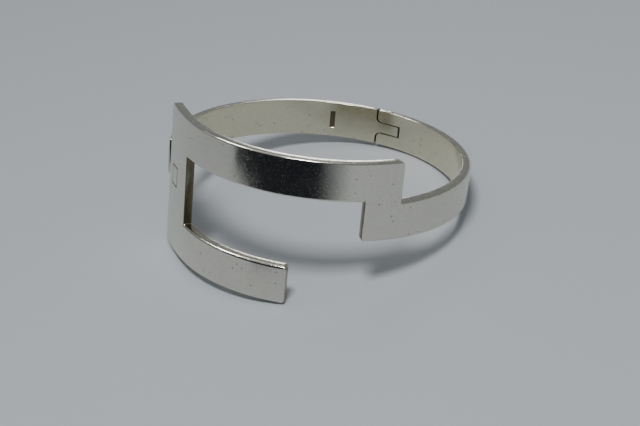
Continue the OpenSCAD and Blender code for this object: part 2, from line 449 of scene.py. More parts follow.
@dataclass
class Blank:
    """A flat piece of metal with rounded edges: X along it, Y across it and Z its thickness."""

    name: str
    corners: list[Corner]
    low: float
    high: float
    holes: list[list[Corner]] = field(default_factory=list)
    sunk: list[Corner] = field(default_factory=list)
    sunk_depth: float = 0.15
    edge: float = 0.2
    under_edge: float = 0.12
    spacing: float = 0.0
    turns: int = 5

    def cuts(self) -> list[float]:
        """Even places along the blank that keep clear of every corner."""
        if not self.spacing:
            return []
        every = self.corners + self.sunk + [c for hole in self.holes for c in hole]
        margin = self.edge + SUPPORT + CUT_ROOM
        low, high = min(c.x for c in every), max(c.x for c in every)
        count = round((high - low) / self.spacing)
        spots = [low + (high - low) * k / count for k in range(1, count)]
        return [s for s in spots if all(abs(s - c.x) > c.radius + margin for c in every)]

    def profile(self, point: RimPoint) -> list[tuple[float, float, float, float]]:
        """How the edge runs at a point, from the under face to the upper one.

        Args:
            point: A point on the outline.

        Returns:
            For each row its X, Y, height and film.
        """
        thick = self.high - self.low
        under, most = min(self.under_edge, thick * UNDER_SHARE), thick * OVER_SHARE
        over = min(point.edge, most)
        wrist, worn = Film.WRIST_SIDE.value, Film.WORN.value
        rows = [(*point.inset(lambda edge: under + SUPPORT), self.low, wrist)]
        turns = [math.pi / 2 * k / self.turns for k in range(self.turns + 1)]
        for k, turn in enumerate(turns):
            inset = under * (1 - math.sin(turn))
            film = wrist + (point.film - wrist) * k / self.turns
            rows.append((*point.inset(lambda edge: inset),
                         self.low + under * (1 - math.cos(turn)), film))
        for k, turn in enumerate(turns):
            share = 1 - math.cos(turn)
            film = point.film + (worn - point.film) * (k / self.turns) ** 2
            rows.append((*point.inset(lambda edge: min(edge, most) * share),
                         self.high - over * (1 - math.sin(turn)), film))
        rows.append((*point.inset(lambda edge: min(edge, most) + SUPPORT), self.high, worn))
        return rows

    def sink(self, cuts: list[float], spots: list[Spot], films: list[float],
             faces: list[Face]) -> tuple[list[list[int]], ...]:
        """Adds the walls of the panel that is sunk into the under face.

        Args:
            cuts: Places along X at which an edge runs straight across.
            spots: The points so far, which grow.
            films: The film at each point, which grow too.
            faces: The faces so far, which grow too.

        Returns:
            The loops round the panel in the under face, and the loops round its floor.
        """
        if not self.sunk:
            return [], []
        points = rim(self.sunk, self.edge, cuts)
        rows = [(SUPPORT, 0.0), (0.0, 0.0), (-WALL_LEAN, self.sunk_depth),
                (-WALL_LEAN - SUPPORT, self.sunk_depth)]
        start, step, count = len(spots), len(rows), len(points)
        for point in points:
            for inset, depth in rows:
                x, y = point.inset(lambda edge, by=inset: by)
                spots.append((x, y, self.low + depth))
                films.append(Film.HIDDEN.value if depth else Film.WRIST_SIDE.value)
        faces += walls(start, count, step)
        loops = [[start + i * step + row for i in range(count)] for row in (0, step - 1)]
        return loops[:1], loops[1:]

    def mesh(self) -> bpy.types.Mesh:
        """Builds the blank as one closed mesh, in metres, with its film of tarnish."""
        cuts = self.cuts()
        rims = [rim(outline, self.edge, cuts) for outline in (self.corners, *self.holes)]
        spots: list[Spot] = []
        films: list[float] = []
        faces: list[Face] = []
        starts = []
        rows = 2 * self.turns + 4
        for points in rims:
            starts.append(len(spots))
            for point in points:
                for x, y, height, film in self.profile(point):
                    spots.append((x, y, height))
                    films.append(film)
            faces += walls(starts[-1], len(points), rows)
        sunk, floors = self.sink(cuts, spots, films, faces)
        under, upper = (
            [[start + i * rows + row for i in range(len(points))]
             for start, points in zip(starts, rims)]
            for row in (0, rows - 1))
        faces += [tuple(reversed(face)) for face in fill(spots, under + sunk, cuts)]
        faces += [tuple(face) for face in fill(spots, upper, cuts)]
        for loop in floors:
            faces += [tuple(reversed(face)) for face in fill(spots, [loop], [])]
        return filmed(self.name, [tuple(v * MM for v in spot) for spot in spots], faces, films)


def fill(spots: list[Spot], loops: list[list[int]], cuts: list[float]) -> list[list[int]]:
    """Fills an outline and its holes with faces, cut across at even places.

    Args:
        spots: Every point of the blank.
        loops: The outline and each hole, as numbers of points.
        cuts: Places along X at which an edge runs straight across.

    Returns:
        Faces as numbers of points, seen anticlockwise from above.
    """
    numbers = [n for loop in loops for n in loop]
    place = {n: k for k, n in enumerate(numbers)}
    flat = [Vector(spots[n][:2]) for n in numbers]
    edges = [(place[loop[i - 1]], place[loop[i]]) for loop in loops for i in range(len(loop))]
    for cut in cuts:
        crossing = sorted((k for k, v in enumerate(flat) if abs(v.x - cut) < SAME),
                          key=lambda k: flat[k].y)
        edges += list(zip(crossing[::2], crossing[1::2]))
    _, _, found, origins, _, _ = delaunay_2d_cdt(flat, edges, [], 0, 1e-6)
    rims = [np.array([flat[place[n]] for n in loop]) for loop in loops]
    kept = []
    for face in found:
        corners = [origins[v][0] for v in face]
        centre = sum((flat[c] for c in corners), Vector((0, 0))) / len(corners)
        crossings = 0
        for points in rims:
            before = np.roll(points, 1, axis=0)
            spans = (points[:, 1] > centre.y) != (before[:, 1] > centre.y)
            slope = (before[:, 0] - points[:, 0]) / np.where(spans, before[:, 1] - points[:, 1], 1)
            meets = points[:, 0] + (centre.y - points[:, 1]) * slope
            crossings += int(np.sum(spans & (centre.x < meets)))
        if crossings % 2:
            kept.append([numbers[c] for c in corners])
    return kept


# --------------------------------------------------------------------------- node trees


def add(tree: bpy.types.NodeTree, kind: str, settings: dict | None = None,
        inputs: dict | None = None) -> bpy.types.Node:
    """Adds a node with its settings and links.

    Args:
        tree: The tree that takes the node.
        kind: The node's type.
        settings: Properties of the node.
        inputs: Sockets by name or number, each with a value or an output socket.

    Returns:
        The new node.
    """
    node = tree.nodes.new(kind)
    for name, value in (settings or {}).items():
        setattr(node, name, value)
    for name, value in (inputs or {}).items():
        socket = node.inputs[name]
        if isinstance(value, bpy.types.NodeSocket):
            tree.links.new(value, socket)
        else:
            socket.default_value = value
    return node


@dataclass(frozen=True)
class Mandrel:
    """What a blank is bent round: a circle, met at this place along the blank in this direction."""

    centre_x: float
    centre_y: float
    base_r: float
    along_r: float
    start: float = 0.0
    turn: float = 0.0

    def values(self) -> dict[str, float]:
        """Its sizes in metres and radians, by the names of the tree's inputs."""
        lengths = (self.centre_x, self.centre_y, self.base_r, self.along_r, self.start)
        return dict(zip(Bender.ROUND, (*(v * MM for v in lengths), self.turn)))


class Bender:
    """A Geometry Nodes tree that bends a flat blank round a mandrel and leans it to rest.

    A blank may be bent round a first mandrel up to a place along it, and round the main
    one from there on.
    """

    ROUND = ("Centre X", "Centre Y", "Base Radius", "Along Radius", "Start", "Turn")
    PLACE = ("Split", "Height", "Lean", "Rest Shift", "Rest Lift")
    # The sums that bend a point: what each is called, and what it is worked out from.
    SUMS = (
        ("past", "SUBTRACT", "along", "Start"),
        ("swept", "DIVIDE", "past", "Along Radius"),
        ("angle", "ADD", "swept", "Turn"),
        ("radius", "ADD", "Base Radius", "up"),
        ("cosine", "COSINE", "angle", "none"),
        ("sine", "SINE", "angle", "none"),
        ("out", "MULTIPLY", "radius", "cosine"),
        ("round", "MULTIPLY", "radius", "sine"),
        ("x", "ADD", "out", "Centre X"),
        ("y", "ADD", "round", "Centre Y"),
        ("z", "ADD", "across", "Height"),
    )

    def __init__(self) -> None:
        """Builds the tree once."""
        self.tree = bpy.data.node_groups.new("bend_round_mandrel", "GeometryNodeTree")
        face = self.tree.interface
        face.new_socket("Geometry", in_out="INPUT", socket_type="NodeSocketGeometry")
        names = [*self.ROUND, *(f"First {name}" for name in self.ROUND), *self.PLACE]
        kinds = dict.fromkeys(names, "NodeSocketFloat") | {"Finish": "NodeSocketMaterial"}
        self.sockets = {
            name: face.new_socket(name, in_out="INPUT", socket_type=kind).identifier
            for name, kind in kinds.items()
        }
        face.new_socket("Geometry", in_out="OUTPUT", socket_type="NodeSocketGeometry")
        self._wire()

    def _wire(self) -> None:
        """Joins the tree's nodes."""
        tree = self.tree
        given = add(tree, "NodeGroupInput").outputs
        spot = add(tree, "GeometryNodeInputPosition").outputs[0]
        parts = add(tree, "ShaderNodeSeparateXYZ", inputs={0: spot}).outputs
        made = {"along": parts[0], "across": parts[1], "up": parts[2],
                "Height": given["Height"], "none": 0.0}
        early = add(tree, "ShaderNodeMath", {"operation": "LESS_THAN"},
                    {0: parts[0], 1: given["Split"]}).outputs[0]
        for name in self.ROUND:
            made[name] = add(tree, "ShaderNodeMix", inputs={
                0: early, 2: given[name], 3: given[f"First {name}"]}).outputs[0]
        for name, operation, first, second in self.SUMS:
            made[name] = add(tree, "ShaderNodeMath", {"operation": operation},
                             {0: made[first], 1: made[second]}).outputs[0]
        bent = add(tree, "ShaderNodeCombineXYZ", inputs={k: made[n] for k, n in enumerate("xyz")})
        moved = add(tree, "GeometryNodeSetPosition",
                    inputs={0: given["Geometry"], "Position": bent.outputs[0]})
        lean = add(tree, "ShaderNodeCombineXYZ", inputs={0: given["Lean"]})
        place = add(tree, "ShaderNodeCombineXYZ",
                    inputs={1: given["Rest Shift"], 2: given["Rest Lift"]})
        rested = add(tree, "GeometryNodeTransform", inputs={
            "Geometry": moved.outputs[0], "Translation": place.outputs[0],
            "Rotation": lean.outputs[0]})
        real = add(tree, "GeometryNodeRealizeInstances", inputs={0: rested.outputs[0]})
        dressed = add(tree, "GeometryNodeSetMaterial",
                      inputs={"Geometry": real.outputs[0], "Material": given["Finish"]})
        add(tree, "NodeGroupOutput", inputs={0: dressed.outputs[0]})

    def bend(self, blank: bpy.types.Mesh, mandrel: Mandrel, finish: bpy.types.Material,
             height: float = 0.0, first: Mandrel | None = None) -> bpy.types.Mesh:
        """Bends a blank and gives it its finish.

        Args:
            blank: The flat mesh, in metres.
            mandrel: What it is bent round.
            finish: Its material.
            height: How far up the ring's axis it goes, in millimetres.
            first: What it is bent round up to where the main mandrel begins.

        Returns:
            A plain mesh where the piece lies at rest.
        """
        rest = RING.resting().to_translation()
        early = first or mandrel
        values = {
            **mandrel.values(),
            **{f"First {name}": value for name, value in early.values().items()},
            "Split": early.start * MM, "Height": height * MM,
            "Lean": -math.radians(RING.lean), "Rest Shift": rest.y * MM,
            "Rest Lift": rest.z * MM, "Finish": finish,
        }
        holder = bpy.data.objects.new("bending", blank)
        bpy.context.scene.collection.objects.link(holder)
        modifier = holder.modifiers.new("bend", "NODES")
        modifier.node_group = self.tree
        for name, value in values.items():
            modifier[self.sockets[name]] = value
        graph = bpy.context.evaluated_depsgraph_get()
        mesh = bpy.data.meshes.new_from_object(holder.evaluated_get(graph))
        bpy.data.objects.remove(holder)
        bpy.data.meshes.remove(blank)
        return mesh


# --------------------------------------------------------------------------- finishes


def linear(colour: str) -> tuple[float, float, float, float]:
    """Turns an sRGB hex colour into linear values."""
    values = [int(colour[i:i + 2], 16) / 255 for i in (1, 3, 5)]
    toned = [v / 12.92 if v <= 0.04045 else ((v + 0.055) / 1.055) ** 2.4 for v in values]
    return (*toned, 1.0)


class BareFinish:
    """A new material with its tree, its shader and the place of each point in metres."""

    def __init__(self, name: str) -> None:
        """Makes the material."""
        self.material = bpy.data.materials.new(name)
        self.material.use_nodes = True
        self.tree = self.material.node_tree
        self.shader = self.tree.nodes["Principled BSDF"]
        self.spot = add(self.tree, "ShaderNodeTexCoord").outputs["Object"]

    def dress(self, **sockets: object) -> bpy.types.Material:
        """Gives the shader's sockets their values and links.

        Args:
            sockets: Sockets by name, with _ for a space, each with a value or an output socket.

        Returns:
            The material.
        """
        for name, value in sockets.items():
            socket = self.shader.inputs[name.replace("_", " ")]
            if isinstance(value, bpy.types.NodeSocket):
                self.tree.links.new(value, socket)
            else:
                socket.default_value = value
        return self.material


@dataclass(frozen=True)
class Silver:
    """Sterling silver, polished by hand on a wheel and then worn."""

    # Polishing leaves broad soft waves that bend reflections, wear adds hairline scratches,
    # tiny pits hold dirt, and the side towards the wrist keeps a warm film of tarnish.
    name: str
    tone: str = "#dddace"
    film: str = "#dad5bd"
    deep_film: str = "#6e6755"
    seam_dirt: str = "#1f1c18"
    pit_colour: str = "#4c463b"
    # How much tarnish it takes for each layer of it to begin to show, and to cover.
    film_at: Pair = (0.0, 0.5)
    deep_film_at: Pair = (0.55, 1.0)
    seam_dirt_at: Pair = (1.05, 1.4)
    roughness: float = 0.16
    # The film gathers in clouds, which make it thicker or thinner and the gloss uneven.
    cloud_mm: float = 4.0
    cloud_film: Pair = (0.36, -0.16)
    cloud_gloss: Pair = (0.2, -0.1)
    wave_mm: float = 6.0
    wave_depth_mm: float = 0.016
    scratch_mm: float = 0.16
    scratch_stretch: float = 45.0
    scratch_mask: Pair = (0.61, 0.73)
    scratch_depth_mm: float = 0.006
    scratch_gloss: float = 0.2
    # The directions of the two sets of scratches, each with a number that sets its pattern.
    scratch_sets: tuple[tuple[Spot, float], ...] = (((0.2, 0.5, 0.4), 1.0), ((1.1, -0.6, 2.2), 7.0))
    pit_mm: float = 1.1
    pit_mask: Pair = (0.2, 0.1)
    pit_share: float = 0.75
    pit_dirt: float = 0.75
    grain_mm: float = 0.3
    grain_mask: Pair = (0.3, 0.7)
    grain_dark: float = 0.84

    def material(self) -> bpy.types.Material:
        """Builds the node material."""
        made = BareFinish(self.name)
        tree, spot = made.tree, made.spot
        kept = add(tree, "ShaderNodeAttribute", {"attribute_name": "film"}).outputs["Fac"]
        clouds = add(tree, "ShaderNodeTexNoise", inputs={
            "Vector": spot, "Scale": 1 / (self.cloud_mm * MM), "Detail": 5.0,
            "Roughness": 0.62}).outputs["Fac"]
        pits, scratches = self._pits(made), self._scratches(made)
        worn = add(tree, "ShaderNodeMath", {"operation": "MAXIMUM"}, {
            0: scratches, 1: pits}).outputs[0]
        dull = add(tree, "ShaderNodeMath", {"operation": "MULTIPLY_ADD"}, {
            0: clouds, 1: self.cloud_gloss[0], 2: self.roughness + self.cloud_gloss[1]}).outputs[0]
        rough = add(tree, "ShaderNodeMath", {"operation": "MULTIPLY_ADD"}, {
            0: scratches, 1: self.scratch_gloss, 2: dull}).outputs[0]
        waves = add(tree, "ShaderNodeTexNoise", inputs={
            "Vector": spot, "Scale": 1 / (self.wave_mm * MM), "Detail": 1.0, "Roughness": 0.4})
        wavy = add(tree, "ShaderNodeBump", inputs={
            "Strength": 1.0, "Distance": self.wave_depth_mm * MM, "Height": waves.outputs["Fac"]})
        cut = add(tree, "ShaderNodeBump", {"invert": True}, {
            "Strength": 0.6, "Distance": self.scratch_depth_mm * MM, "Height": worn,
            "Normal": wavy.outputs[0]})
        return made.dress(Base_Color=self._colour(made, kept, clouds, pits), Metallic=1.0,
                          Roughness=rough, Normal=cut.outputs[0])

    def _colour(self, made: BareFinish, kept: bpy.types.NodeSocket, clouds: bpy.types.NodeSocket,
                pits: bpy.types.NodeSocket) -> bpy.types.NodeSocket:
        """Bare silver under layers of tarnish, with a fine grain and dirt in the pits.

        Args:
            made: The material that is being dressed.
            kept: How much tarnish the surface keeps.
            clouds: Where the tarnish gathers.
            pits: The mask of the pits.

        Returns:
            The colour.
        """
        tree, (share, shift) = made.tree, self.cloud_film
        spread = add(tree, "ShaderNodeMath", {"operation": "MULTIPLY_ADD"}, {
            0: clouds, 1: share, 2: shift}).outputs[0]
        amount = add(tree, "ShaderNodeMath", {"operation": "ADD", "use_clamp": True}, {
            0: kept, 1: spread}).outputs[0]
        colour: object = linear(self.tone)
        for layer, tarnish, (shows, covers) in (
                (self.film, amount, self.film_at), (self.deep_film, amount, self.deep_film_at),
                (self.seam_dirt, kept, self.seam_dirt_at)):
            thick = add(tree, "ShaderNodeMapRange", inputs={
                "Value": tarnish, "From Min": shows, "From Max": covers}).outputs[0]
            colour = add(tree, "ShaderNodeMix", {"data_type": "RGBA"}, {
                "Factor": thick, 6: colour, 7: linear(layer)}).outputs[2]
        grains = add(tree, "ShaderNodeTexNoise", inputs={
            "Vector": made.spot, "Scale": 1 / (self.grain_mm * MM), "Detail": 3.0}).outputs["Fac"]
        dusted = add(tree, "ShaderNodeMapRange", inputs={
            "Value": grains, "From Min": self.grain_mask[0], "From Max": self.grain_mask[1],
            "To Min": self.grain_dark})
        grained = add(tree, "ShaderNodeVectorMath", {"operation": "SCALE"}, {
            0: colour, "Scale": dusted.outputs[0]}).outputs[0]
        dirt = add(tree, "ShaderNodeMath", {"operation": "MULTIPLY"}, {
            0: pits, 1: self.pit_dirt}).outputs[0]
        return add(tree, "ShaderNodeMix", {"data_type": "RGBA"}, {
            "Factor": dirt, 6: grained, 7: linear(self.pit_colour)}).outputs[2]

    def _pits(self, made: BareFinish) -> bpy.types.NodeSocket:
        """Tiny scattered pits, as a mask from 0 to 1."""
        tree = made.tree
        cells = add(tree, "ShaderNodeTexVoronoi", inputs={
            "Vector": made.spot, "Scale": 1 / (self.pit_mm * MM), "Randomness": 1.0}).outputs
        dots = add(tree, "ShaderNodeMapRange", inputs={
            "Value": cells["Distance"], "From Min": self.pit_mask[0],
            "From Max": self.pit_mask[1]}).outputs[0]
        chance = add(tree, "ShaderNodeSeparateColor", inputs={0: cells["Color"]}).outputs[0]
        pick = add(tree, "ShaderNodeMath", {"operation": "GREATER_THAN"}, {
            0: chance, 1: self.pit_share}).outputs[0]
        return add(tree, "ShaderNodeMath", {"operation": "MULTIPLY"}, {
            0: dots, 1: pick}).outputs[0]

    def _scratches(self, made: BareFinish) -> bpy.types.NodeSocket:
        """Hairlines in two directions, as a mask from 0 to 1."""
        tree, masks = made.tree, []
        across = 1 / (self.scratch_mm * MM)
        lengthwise = 1 / (self.scratch_mm * MM * self.scratch_stretch)
        for turn, pattern in self.scratch_sets:
            laid = add(tree, "ShaderNodeMapping", inputs={
                "Vector": made.spot, "Rotation": turn, "Scale": (lengthwise, across, across)})
            lines = add(tree, "ShaderNodeTexNoise", {"noise_dimensions": "4D"}, {
                "Vector": laid.outputs[0], "W": pattern, "Scale": 1.0, "Detail": 2.0,
                "Roughness": 0.6})
            masks.append(add(tree, "ShaderNodeMapRange", inputs={
                "Value": lines.outputs["Fac"], "From Min": self.scratch_mask[0],
                "From Max": self.scratch_mask[1]}).outputs[0])
        return add(tree, "ShaderNodeMath", {"operation": "MAXIMUM"}, {
            0: masks[0], 1: masks[1]}).outputs[0]


@dataclass(frozen=True)
class SpringSteel:
    """Blued-grey rolled spring steel: fine lines along the leaf, and a duller gloss."""

    # Rolling draws lines along the leaf, so its gloss runs in streaks, 50 times as long as wide.
    name: str = "spring_steel_rolled"
    tone: str = "#8a8c8e"
    line_mm: float = 0.05
    line_l_mm: float = 2.5
    gloss: Pair = (0.22, 0.42)

    def material(self) -> bpy.types.Material:
        """Builds the node material."""
        made = BareFinish(self.name)
        across = 1 / (self.line_mm * MM)
        laid = add(made.tree, "ShaderNodeMapping", inputs={
            "Vector": made.spot, "Scale": (1 / (self.line_l_mm * MM), across, across)})
        lines = add(made.tree, "ShaderNodeTexNoise", inputs={
            "Vector": laid.outputs[0], "Scale": 1.0, "Detail": 2.0}).outputs["Fac"]
        rough = add(made.tree, "ShaderNodeMapRange", inputs={
            "Value": lines, "To Min": self.gloss[0], "To Max": self.gloss[1]}).outputs[0]
        return made.dress(Base_Color=linear(self.tone), Metallic=1.0, Roughness=rough)


@dataclass(frozen=True)
class MattPaper:
    """Smooth matt background paper: even, with a grain too fine to see as more than a tooth."""

    # Pressed fibres leave a slight tooth, so the paper scatters light and never shines.
    name: str = "background_paper_matt"
    tone: str = "#b7bcc1"
    grain_mm: float = 1.2
    grain_depth_mm: float = 0.05
    roughness: float = 0.85

    def material(self) -> bpy.types.Material:
        """Builds the node material."""
        made = BareFinish(self.name)
        grain = add(made.tree, "ShaderNodeTexNoise", inputs={
            "Vector": made.spot, "Scale": 1 / (self.grain_mm * MM), "Detail": 3.0}).outputs["Fac"]
        tooth = add(made.tree, "ShaderNodeBump", inputs={
            "Strength": 0.15, "Distance": self.grain_depth_mm * MM, "Height": grain}).outputs[0]
        return made.dress(Base_Color=linear(self.tone), Roughness=self.roughness, Normal=tooth)


@dataclass(frozen=True)
class BlackCard:
    """Black studio card, which fades out to one side so that its mirror image has a soft end."""

    # A soft black coat on card drinks up the light, so the metal mirrors it as a dark band.
    name: str = "card_black"
    tone: str = "#242934"
    roughness: float = 0.9
    solid_to: float = 60.0
    gone_at: float = 100.0

    def material(self) -> bpy.types.Material:
        """Builds the node material."""
        made = BareFinish(self.name)
        along = add(made.tree, "ShaderNodeSeparateXYZ", inputs={0: made.spot}).outputs["X"]
        solid = add(made.tree, "ShaderNodeMapRange", inputs={
            "Value": along, "From Min": self.gone_at * MM, "From Max": self.solid_to * MM})
        return made.dress(Base_Color=linear(self.tone), Roughness=self.roughness,
                          Alpha=solid.outputs[0])


@dataclass
class Finishes:
    """Every finish of the bangle, made once."""

    polished: bpy.types.Material
    wire: bpy.types.Material
    sheet: bpy.types.Material
    spring: bpy.types.Material

    @classmethod
    def make(cls) -> "Finishes":
        """Builds the materials."""
        return cls(
            polished=Silver("sterling_silver_polished").material(),
            wire=Silver("silver_wire_drawn", roughness=0.2).material(),
            sheet=Silver("silver_sheet_sawn", tone="#cfcabb", roughness=0.3).material(),
            spring=SpringSteel().material(),
        )


# --------------------------------------------------------------------------- making pieces


def laid(mesh: bpy.types.Mesh, local: Matrix, finish: bpy.types.Material) -> bpy.types.Mesh:
    """Sets an unbent mesh in its place at rest and gives it its finish.

    Args:
        mesh: The mesh, in metres.
        local: Where it goes in the ring's own frame, in millimetres.
        finish: Its material.

    Returns:
        The same mesh.
    """
    mesh.transform(Matrix.Scale(MM, 4) @ RING.resting() @ local @ Matrix.Scale(1 / MM, 4))
    mesh.materials.append(finish)
    return mesh


def turned(profile: list[Point], steps: int = 48) -> bpy.types.Mesh:
    """Turns a profile about Z into a closed mesh.

    Args:
        profile: Radius and height of each point, from the lower end to the upper one.
        steps: How many faces go round.

    Returns:
        The mesh, in metres.
    """
    rows = len(profile)
    spots = []
    for i in range(steps):
        angle = math.tau * i / steps
        spots += [(r * MM * math.cos(angle), r * MM * math.sin(angle), z * MM) for r, z in profile]
    faces = walls(0, steps, rows)
    faces.append(tuple(reversed(range(0, steps * rows, rows))))
    faces.append(tuple(range(rows - 1, steps * rows, rows)))
    return filmed("turned", spots, faces, [Film.WORN.value] * len(spots))


class Bench:
    """Turns blanks into finished pieces of the bangle."""

    def __init__(self) -> None:
        """Sets up the bending tree and the mandrels of the ring, the plate and the back."""
        self.bender = Bender()
        ring, plate, back = RING, RING.plate_centre, RING.back_centre
        self.ring = Mandrel(0, 0, ring.inner_r, ring.outer_r)
        self.plate = Mandrel(plate.x, plate.y, ring.plate_r - ring.strip_t, ring.plate_r,
                             ring.along(ring.plate_to), math.radians(ring.plate_to))
        self.back = Mandrel(back.x, back.y, ring.inner_r + ring.back_grow,
                            ring.outer_r + ring.back_grow)

    @staticmethod
    def piece(name: str, meshes: list[bpy.types.Mesh], body: str, node: str,
              slot: str) -> bpy.types.Object:
        """Joins meshes into one piece that stands for a node.

        Args:
            name: The piece's name.
            meshes: Its meshes, all with the same material.
            body: The body that it moves with.
            node: The node that it stands for.
            slot: The name of a material slot, which is not used.

        Returns:
            The piece's object.
        """
        spots, faces, films = [], [], []
        for mesh in meshes:
            start = len(spots)
            spots += [v.co.copy() for v in mesh.vertices]
            faces += [tuple(start + n for n in p.vertices) for p in mesh.polygons]
            films += [d.value for d in mesh.attributes["film"].data]
        joined = filmed(name, spots, faces, films)
        joined.materials.append(meshes[0].materials[0])
        made = bpy.data.objects.new(name, joined)
        bpy.context.scene.collection.objects.link(made)
        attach(made, body)
        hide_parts(node)
        LOG.info("%s: %d faces on %s", name, len(joined.polygons), body)
        return made


# --------------------------------------------------------------------------- sub-assemblies


@dataclass
class Assembly:
    """What every sub-assembly has: the bench, the finishes, and how its edges are rounded."""

    bench: Bench
    finishes: Finishes
    side_edge: float = 0.3
    band_edge: float = 0.7
    band_corner_r: float = 0.25
    cut_edge: float = 0.14
    seam_edge: float = 0.1
    spacing: float = 0.6


@dataclass
class FrontAssembly(Assembly):
    """The front piece with the fork, the pin and what is soldered behind the plate."""

    arm_edge: float = 0.34
    lower_edge: float = 0.55
    gap_edge: float = 0.16
    plate_low_r: float = 1.0
    plate_high_r: float = 1.4
    step_r: float = 1.1
    corner_r: float = 0.75
    inner_corner_r: float = 0.12

    def build(self) -> None:
        """Makes every piece of the front."""
        self.front_piece()
        self.hinge_pin()
        self.catch_box()
        self.catch_cover()
        self.button_spring()

    def front_piece(self) -> None:
        """The pierced strip: plate, arms, step, band and fork, cut out flat and then bent."""
        p, h = RING, HINGE
        split, arm_end = p.along(p.plate_to), p.along(p.lower_end)
        near = split - p.plate_w
        step_near, step_far = p.along(p.step_from), p.along(p.step_to)
        pin = p.along(360 + p.hinge_at)
        ears, slot = pin + h.ear_l, pin - h.slot_l
        slot_low, slot_high = span(p.band_mid, h.slot_w)
        side, corner, tight = self.side_edge, self.corner_r, self.inner_corner_r
        hidden, seam = (self.cut_edge, Film.HIDDEN), (self.seam_edge, Film.SEAM)
        outline = [
            Corner(near, -p.top, self.plate_low_r, self.arm_edge),
            Corner(arm_end, -p.top, corner, *hidden),
            Corner(arm_end, p.lower_arm_top, corner, self.lower_edge),
            Corner(split, p.lower_arm_top, tight, self.gap_edge, Film.HIDDEN),
            Corner(split, p.arm_bottom, tight, self.arm_edge),
            Corner(step_near, p.arm_bottom, tight, *hidden),
            Corner(step_near, p.band_bottom, corner, self.band_edge),
            Corner(ears, p.band_bottom, self.band_corner_r, *seam),
            Corner(ears, slot_low, h.ear_round, *seam),
            Corner(slot, slot_low, tight, *seam),
            Corner(slot, slot_high, tight, *seam),
            Corner(ears, slot_high, h.ear_round, *seam),
            Corner(ears, p.band_top, self.band_corner_r, self.band_edge),
            Corner(step_far, p.band_top, tight, side),
            Corner(step_far, p.top, self.step_r, self.arm_edge),
            Corner(near, p.top, self.plate_high_r, side),
        ]
        window = rectangle(span(CATCH.window_along, CLASP.window_l),
                           span(CATCH.height, CLASP.window_h), CLASP.window_round,
                           self.cut_edge, Film.SEAM, hole=True)
        blank = Blank("front_blank", outline, 0, p.strip_t, [window], edge=side,
                      spacing=self.spacing)
        mesh = self.bench.bender.bend(blank.mesh(), self.bench.ring, self.finishes.polished,
                                      first=self.bench.plate)
        self.bench.piece("pierced_front", [mesh], "front", "front_piece", "polished_silver")

    def hinge_pin(self) -> None:
        """The wire, spread at both ends by the rivet hammer into low domes."""
        h, half, steps = HINGE, RING.strip_w / 2, 4
        upper = [(h.pin_d / 2, half - h.rivet_h), (h.rivet_d / 2, half - h.rivet_rim)]
        for k in range(steps):
            turn = math.pi / 2 * k / steps
            upper.append((h.rivet_d / 2 * math.cos(turn), half + h.rivet_dome * math.sin(turn)))
        upper.append((h.rivet_flat_r, half + h.rivet_dome))
        mesh = turned([(r, -z) for r, z in reversed(upper)] + upper)
        laid(mesh, RING.at(RING.hinge_at, RING.band_mid), self.finishes.wire)
        self.bench.piece("riveted_pin", [mesh], "front", "hinge_pin", "silver_wire")

    def catch_box(self) -> None:
        """Three walls behind the plate, bent from one strip of sheet."""
        c, sawn, inner, bend, into_plate = CLASP, 0.06, 0.08, 0.3, 0.1
        wall, side = c.box_t, c.window_h / 2 + c.box_side
        near, far = c.box_from - c.window_in, CATCH.box_to - c.window_in
        outline = [
            Corner(near, -side - wall, sawn), Corner(far + wall, -side - wall, bend),
            Corner(far + wall, side + wall, bend), Corner(near, side + wall, sawn),
            Corner(near, side, sawn), Corner(far, side, inner), Corner(far, -side, inner),
            Corner(near, -side, sawn),
        ]
        blank = Blank("box_blank", outline, CATCH.floor_top, into_plate - RING.strip_t / 2,
                      edge=0.04, under_edge=0.04, turns=2)
        mesh = laid(blank.mesh(), self.facing(), self.finishes.sheet)
        self.bench.piece("catch_walls", [mesh], "front", "catch_box", "silver_sheet")

    def catch_cover(self) -> None:
        """The plate that closes the box, with its edges filed smooth for the wrist."""
        c = CLASP
        side = c.window_h / 2 + c.box_side + c.box_t
        near, far = c.box_from - c.window_in, CATCH.box_to - c.window_in + c.box_t
        outline = rectangle((near, far), (-side, side), 0.3)
        blank = Blank("cover_blank", outline, CATCH.floor_top - c.box_t, CATCH.floor_top,
                      edge=0.03, under_edge=0.08, turns=3)
        mesh = laid(blank.mesh(), self.facing(), self.finishes.sheet)
        self.bench.piece("catch_lid", [mesh], "front", "catch_cover", "silver_sheet")

    @staticmethod
    def facing() -> Matrix:
        """Lays a blank flat behind the window, its thickness along the ring's radius."""
        turn = Matrix(((0, 0, 1, 0), (1, 0, 0, 0), (0, 1, 0, 0), (0, 0, 0, 1)))
        return RING.on_plate(CLASP.window_in, CATCH.height) @ turn

    def button_spring(self) -> None:
        """A leaf bent back on itself, between the cover and the button."""
        t, cut, past_tooth, shorter, fold = CLASP.leaf_t, 0.03, 0.3, 0.2, 0.3
        foot = CATCH.box_to - CLASP.window_in - CLASP.leaf_play
        tip = CATCH.tongue_l * math.cos(CATCH.slant) - CLASP.window_in + past_tooth
        low, high = CATCH.floor_top, CATCH.face_bottom
        half = (low + high) / 2
        outline = [
            Corner(low, foot, 0.15), Corner(half, foot, fold), Corner(high, tip, cut),
            Corner(high - t, tip, cut), Corner(half, foot - t, 0.2),
            Corner(low + t, foot - fold, 0.1), Corner(low + t, tip + shorter, cut),
            Corner(low, tip + shorter, cut),
        ]
        blank = Blank("leaf_blank", outline, *span(0, CLASP.leaf_w), edge=0.02,
                      under_edge=0.02, turns=2)
        local = RING.on_plate(CLASP.window_in, CATCH.height)
        mesh = laid(blank.mesh(), local, self.finishes.spring)
        self.bench.piece("bent_leaf", [mesh], "front", "button_spring", "spring_steel")


